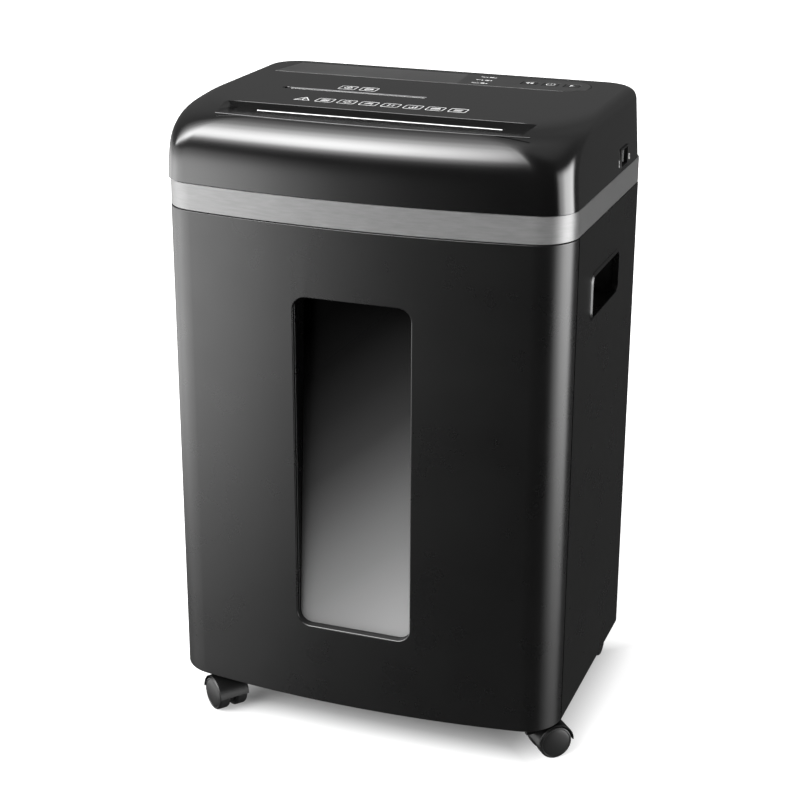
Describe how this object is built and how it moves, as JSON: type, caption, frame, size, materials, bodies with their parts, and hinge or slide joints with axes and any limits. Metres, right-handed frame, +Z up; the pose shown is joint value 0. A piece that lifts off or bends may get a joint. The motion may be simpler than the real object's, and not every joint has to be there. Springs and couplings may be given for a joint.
{
  "type": "paper shredder",
  "caption": "Tall pull-out-bin office shredder on casters, with a paper slot, a disc slot, a leaning bin window and a silver trim band.",
  "frame": {"origin": "on the floor, under the middle of the body's width and depth", "axes": "+Z up, -Y out of the front with the window, +X to the right of a person who faces the front"},
  "size_m": [0.392, 0.2686, 0.579],
  "materials": {
    "satin_black": "satin moulded, fine texture",
    "gloss_black": "high gloss moulded",
    "silver_trim": "satin metallic coat",
    "grey_panel": "satin",
    "key_grey": "satin",
    "grey_plastic": "matte moulded",
    "smoked_pane": "smoked clear sheet",
    "lens": "clear",
    "nylon": "matte moulded nylon",
    "board": "fibreglass laminate",
    "steel": "zinc plated",
    "cutter_steel": "hardened and oiled",
    "bronze": "sintered",
    "caster_black": "satin moulded",
    "wheel_black": "satin moulded"
  },
  "bodies": {
    "housing": {"base_tray": "satin_black", "side_panel_left": "satin_black", "side_panel_right": "satin_black", "back_panel": "satin_black", "grip_cup_left": "satin_black", "grip_cup_right": "satin_black", "bin_guides": "grey_plastic", "caster_sockets": "nylon", "head_base": "satin_black", "trim_band": "silver_trim", "head_cover": "gloss_black", "control_panel": "grey_panel", "indicator_lenses": "lens", "control_board": "board", "power_board": "board", "switch_housing": "satin_black", "chassis_plate_left": "steel", "chassis_plate_right": "steel", "tie_rods": "steel", "shaft_bushes": "bronze", "gear_pins": "steel", "motor_can": "steel", "comb_front": "steel", "comb_rear": "steel", "paper_chute": "satin_black", "cd_chute": "satin_black", "paper_sensor": "grey_plastic", "bin_switch": "grey_plastic", "cord_gland": "satin_black", "head_screws": "steel"},
    "bin": {"bin_front": "satin_black", "window_pane": "smoked_pane", "bin_tub": "grey_plastic", "cd_tray": "grey_plastic"},
    "paper_roller_rear": {"paper_cutter_rear": "cutter_steel", "paper_gear_rear": "cutter_steel"},
    "paper_roller_front": {"paper_cutter_front": "cutter_steel", "paper_gear_front": "cutter_steel"},
    "cd_roller_front": {"cd_cutter_front": "cutter_steel", "cd_gear_front": "cutter_steel"},
    "cd_roller_rear": {"cd_cutter_rear": "cutter_steel", "cd_gear_rear": "cutter_steel"},
    "idler": {"idler_gear": "nylon"},
    "reduction": {"reduction_gear": "nylon"},
    "rotor": {"motor_rotor": "steel", "motor_pinion": "cutter_steel", "motor_fan": "satin_black"},
    "rocker": {"power_rocker": "gloss_black"},
    "key_reverse": {"button_reverse": "key_grey"},
    "key_power": {"button_power": "key_grey"},
    "key_forward": {"button_forward": "key_grey"},
    "fork_fl": {"caster_fork_fl": "caster_black"},
    "wheels_fl": {"caster_wheels_fl": "wheel_black"},
    "fork_fr": {"caster_fork_fr": "caster_black"},
    "wheels_fr": {"caster_wheels_fr": "wheel_black"},
    "fork_rl": {"caster_fork_rl": "caster_black"},
    "wheels_rl": {"caster_wheels_rl": "wheel_black"},
    "fork_rr": {"caster_fork_rr": "caster_black"},
    "wheels_rr": {"caster_wheels_rr": "wheel_black"}
  },
  "joints": [
    {"name": "bin_slide", "type": "slide", "parent": "housing", "child": "bin", "axis": [0, -1, 0], "range_m": [0, 0.2]},
    {"name": "paper_rear_spin", "type": "hinge", "parent": "housing", "child": "paper_roller_rear", "pos_m": [0, -0.05625, 0.522], "axis": [1, 0, 0], "continuous": true},
    {"name": "paper_front_spin", "type": "hinge", "parent": "housing", "child": "paper_roller_front", "pos_m": [0, -0.09375, 0.522], "axis": [1, 0, 0], "continuous": true},
    {"name": "idler_spin", "type": "hinge", "parent": "housing", "child": "idler", "pos_m": [0, -0.0323, 0.49822], "axis": [1, 0, 0], "continuous": true},
    {"name": "cd_front_spin", "type": "hinge", "parent": "housing", "child": "cd_roller_front", "pos_m": [0, -0.014, 0.522], "axis": [1, 0, 0], "continuous": true},
    {"name": "cd_rear_spin", "type": "hinge", "parent": "housing", "child": "cd_roller_rear", "pos_m": [0, 0.016, 0.522], "axis": [1, 0, 0], "continuous": true},
    {"name": "reduction_spin", "type": "hinge", "parent": "housing", "child": "reduction", "pos_m": [0, 0.0475, 0.522], "axis": [1, 0, 0], "continuous": true},
    {"name": "motor_spin", "type": "hinge", "parent": "housing", "child": "rotor", "pos_m": [0, 0.0755, 0.522], "axis": [1, 0, 0], "continuous": true},
    {"name": "power_rocker_tilt", "type": "hinge", "parent": "housing", "child": "rocker", "pos_m": [0.176, 0.062, 0.5265], "axis": [0, 0, 1], "range_deg": [0, 18]},
    {"name": "key_reverse_press", "type": "slide", "parent": "housing", "child": "key_reverse", "axis": [0, 0, -1], "range_m": [0, 0.0009], "stiffness_N_per_m": 1200},
    {"name": "key_power_press", "type": "slide", "parent": "housing", "child": "key_power", "axis": [0, 0, -1], "range_m": [0, 0.0009], "stiffness_N_per_m": 1200},
    {"name": "key_forward_press", "type": "slide", "parent": "housing", "child": "key_forward", "axis": [0, 0, -1], "range_m": [0, 0.0009], "stiffness_N_per_m": 1200},
    {"name": "swivel_fl", "type": "hinge", "parent": "housing", "child": "fork_fl", "pos_m": [-0.157, -0.095, 0.04], "axis": [0, 0, 1], "continuous": true},
    {"name": "roll_fl", "type": "hinge", "parent": "fork_fl", "child": "wheels_fl", "pos_m": [-0.14045, -0.10793, 0.016], "axis": [0.6157, 0.788, 0], "continuous": true},
    {"name": "swivel_fr", "type": "hinge", "parent": "housing", "child": "fork_fr", "pos_m": [0.157, -0.095, 0.04], "axis": [0, 0, 1], "continuous": true},
    {"name": "roll_fr", "type": "hinge", "parent": "fork_fr", "child": "wheels_fr", "pos_m": [0.17261, -0.08095, 0.016], "axis": [-0.6691, 0.7431, 0], "continuous": true},
    {"name": "swivel_rl", "type": "hinge", "parent": "housing", "child": "fork_rl", "pos_m": [-0.157, 0.095, 0.04], "axis": [0, 0, 1], "continuous": true},
    {"name": "roll_rl", "type": "hinge", "parent": "fork_rl", "child": "wheels_rl", "pos_m": [-0.17261, 0.08095, 0.016], "axis": [0.6691, -0.7431, 0], "continuous": true},
    {"name": "swivel_rr", "type": "hinge", "parent": "housing", "child": "fork_rr", "pos_m": [0.157, 0.095, 0.04], "axis": [0, 0, 1], "continuous": true},
    {"name": "roll_rr", "type": "hinge", "parent": "fork_rr", "child": "wheels_rr", "pos_m": [0.157, 0.116, 0.016], "axis": [-1, 0, 0], "continuous": true}
  ],
  "couplings": [
    {"joint": "paper_front_spin", "follows": "paper_rear_spin", "ratio": -1},
    {"joint": "idler_spin", "follows": "paper_rear_spin", "ratio": -1.25},
    {"joint": "cd_front_spin", "follows": "paper_rear_spin", "ratio": 1.25},
    {"joint": "cd_rear_spin", "follows": "paper_rear_spin", "ratio": -1.25},
    {"joint": "reduction_spin", "follows": "paper_rear_spin", "ratio": 2.5},
    {"joint": "motor_spin", "follows": "paper_rear_spin", "ratio": -9.1667}
  ]
}
